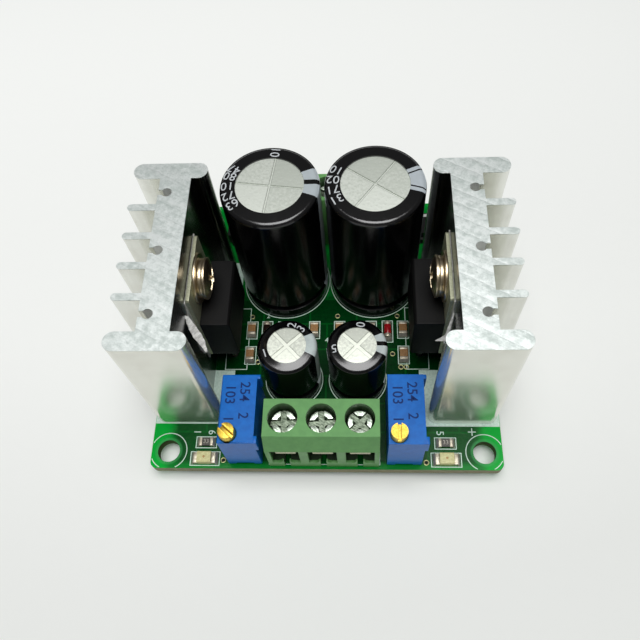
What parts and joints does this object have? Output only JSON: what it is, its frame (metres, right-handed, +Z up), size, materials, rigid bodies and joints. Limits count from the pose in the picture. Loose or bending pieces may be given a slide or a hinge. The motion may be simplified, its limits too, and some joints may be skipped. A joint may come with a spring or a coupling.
{
  "type": "rectifier filter board",
  "caption": "Dual-rail supply board with finned heatsinks, tab regulators, upright filter capacitors, multi-turn trimmers and screw terminal blocks.",
  "frame": {"origin": "under the board's centre, on the plane that the heatsinks' solder pins stand on", "axes": "+X to the right along the board's long side, +Y from the output terminals to the input terminals, +Z up from the board"},
  "size_m": [0.05, 0.046, 0.0286],
  "materials": {
    "solder_mask": "green solder mask over woven laminate",
    "heatsink_aluminium": "extruded, sawn ends",
    "tinned_metal": "tin plated",
    "black_moulding": "moulded epoxy",
    "plated_tab": "plated copper",
    "mica": "split mica",
    "plated_steel": "warm nickel plate",
    "can_aluminium": "drawn, satin",
    "black_sleeve": "shrunk sleeve",
    "blue_housing": "moulded",
    "brass": "turned",
    "green_housing": "moulded",
    "bright_zinc": "bright zinc",
    "clamp_steel": "plated sheet",
    "ceramic": "fired ceramic with tinned ends",
    "resistor_film": "glazed film with tinned ends",
    "led_resin": "clear resin over a pale base",
    "diode_glass": "glass with tinned ends",
    "solder": "bright solder"
  },
  "bodies": {
    "board_assembly": {"circuit_board": "solder_mask", "left_heatsink": "heatsink_aluminium", "left_heatsink_pins": "tinned_metal", "left_regulator_body": "black_moulding", "left_regulator_tab": "plated_tab", "left_regulator_leads": "tinned_metal", "left_mica_sheet": "mica", "left_regulator_screw": "plated_steel", "left_spring_washer": "plated_steel", "left_flat_washer": "plated_steel", "left_filter_can": "can_aluminium", "left_filter_sleeve": "black_sleeve", "left_filter_leads": "tinned_metal", "left_output_can": "can_aluminium", "left_output_sleeve": "black_sleeve", "left_output_leads": "tinned_metal", "left_trimmer_body": "blue_housing", "left_trimmer_pins": "tinned_metal", "right_heatsink": "heatsink_aluminium", "right_heatsink_pins": "tinned_metal", "right_regulator_body": "black_moulding", "right_regulator_tab": "plated_tab", "right_regulator_leads": "tinned_metal", "right_mica_sheet": "mica", "right_regulator_screw": "plated_steel", "right_spring_washer": "plated_steel", "right_flat_washer": "plated_steel", "right_filter_can": "can_aluminium", "right_filter_sleeve": "black_sleeve", "right_filter_leads": "tinned_metal", "right_output_can": "can_aluminium", "right_output_sleeve": "black_sleeve", "right_output_leads": "tinned_metal", "right_trimmer_body": "blue_housing", "right_trimmer_pins": "tinned_metal", "output_terminal_housing": "green_housing", "output_contacts": "clamp_steel", "input_terminal_housing": "green_housing", "input_contacts": "clamp_steel", "chip_capacitors": "ceramic", "chip_resistors": "resistor_film", "indicator_leds": "led_resin", "signal_diodes": "diode_glass", "rectifier_diodes": "black_moulding", "solder_joints": "solder"},
    "left_trimmer_screw": {"left_trimmer_screw": "brass"},
    "right_trimmer_screw": {"right_trimmer_screw": "brass"},
    "output_screw_1": {"output_screw_1": "bright_zinc"},
    "output_cage_1": {"output_cage_1": "clamp_steel"},
    "output_screw_2": {"output_screw_2": "bright_zinc"},
    "output_cage_2": {"output_cage_2": "clamp_steel"},
    "output_screw_3": {"output_screw_3": "bright_zinc"},
    "output_cage_3": {"output_cage_3": "clamp_steel"},
    "input_screw_1": {"input_screw_1": "bright_zinc"},
    "input_cage_1": {"input_cage_1": "clamp_steel"},
    "input_screw_2": {"input_screw_2": "bright_zinc"},
    "input_cage_2": {"input_cage_2": "clamp_steel"},
    "input_screw_3": {"input_screw_3": "bright_zinc"},
    "input_cage_3": {"input_cage_3": "clamp_steel"}
  },
  "joints": [
    {"name": "left_trimmer_turn", "type": "hinge", "parent": "board_assembly", "child": "left_trimmer_screw", "pos_m": [-0.01223, -0.021, 0.014], "axis": [0, 0, -1], "continuous": true},
    {"name": "right_trimmer_turn", "type": "hinge", "parent": "board_assembly", "child": "right_trimmer_screw", "pos_m": [0.01013, -0.021, 0.014], "axis": [0, 0, -1], "continuous": true},
    {"name": "output_screw_1_turn", "type": "hinge", "parent": "board_assembly", "child": "output_screw_1", "pos_m": [-0.00508, -0.01895, 0.01], "axis": [0, 0, -1], "range_deg": [0, 1080]},
    {"name": "output_cage_1_rise", "type": "slide", "parent": "board_assembly", "child": "output_cage_1", "axis": [0, 0, 1], "range_m": [0, 0.00135]},
    {"name": "output_screw_2_turn", "type": "hinge", "parent": "board_assembly", "child": "output_screw_2", "pos_m": [0, -0.01895, 0.01], "axis": [0, 0, -1], "range_deg": [0, 1080]},
    {"name": "output_cage_2_rise", "type": "slide", "parent": "board_assembly", "child": "output_cage_2", "axis": [0, 0, 1], "range_m": [0, 0.00135]},
    {"name": "output_screw_3_turn", "type": "hinge", "parent": "board_assembly", "child": "output_screw_3", "pos_m": [0.00508, -0.01895, 0.01], "axis": [0, 0, -1], "range_deg": [0, 1080]},
    {"name": "output_cage_3_rise", "type": "slide", "parent": "board_assembly", "child": "output_cage_3", "axis": [0, 0, 1], "range_m": [0, 0.00135]},
    {"name": "input_screw_1_turn", "type": "hinge", "parent": "board_assembly", "child": "input_screw_1", "pos_m": [0.00508, 0.01895, 0.01], "axis": [0, 0, -1], "range_deg": [0, 1080]},
    {"name": "input_cage_1_rise", "type": "slide", "parent": "board_assembly", "child": "input_cage_1", "axis": [0, 0, 1], "range_m": [0, 0.00135]},
    {"name": "input_screw_2_turn", "type": "hinge", "parent": "board_assembly", "child": "input_screw_2", "pos_m": [0, 0.01895, 0.01], "axis": [0, 0, -1], "range_deg": [0, 1080]},
    {"name": "input_cage_2_rise", "type": "slide", "parent": "board_assembly", "child": "input_cage_2", "axis": [0, 0, 1], "range_m": [0, 0.00135]},
    {"name": "input_screw_3_turn", "type": "hinge", "parent": "board_assembly", "child": "input_screw_3", "pos_m": [-0.00508, 0.01895, 0.01], "axis": [0, 0, -1], "range_deg": [0, 1080]},
    {"name": "input_cage_3_rise", "type": "slide", "parent": "board_assembly", "child": "input_cage_3", "axis": [0, 0, 1], "range_m": [0, 0.00135]}
  ],
  "couplings": [
    {"joint": "output_screw_1_turn", "follows": "output_cage_1_rise", "rad_per_m": 13963},
    {"joint": "output_screw_2_turn", "follows": "output_cage_2_rise", "rad_per_m": 13963},
    {"joint": "output_screw_3_turn", "follows": "output_cage_3_rise", "rad_per_m": 13963},
    {"joint": "input_screw_1_turn", "follows": "input_cage_1_rise", "rad_per_m": 13963},
    {"joint": "input_screw_2_turn", "follows": "input_cage_2_rise", "rad_per_m": 13963},
    {"joint": "input_screw_3_turn", "follows": "input_cage_3_rise", "rad_per_m": 13963}
  ]
}
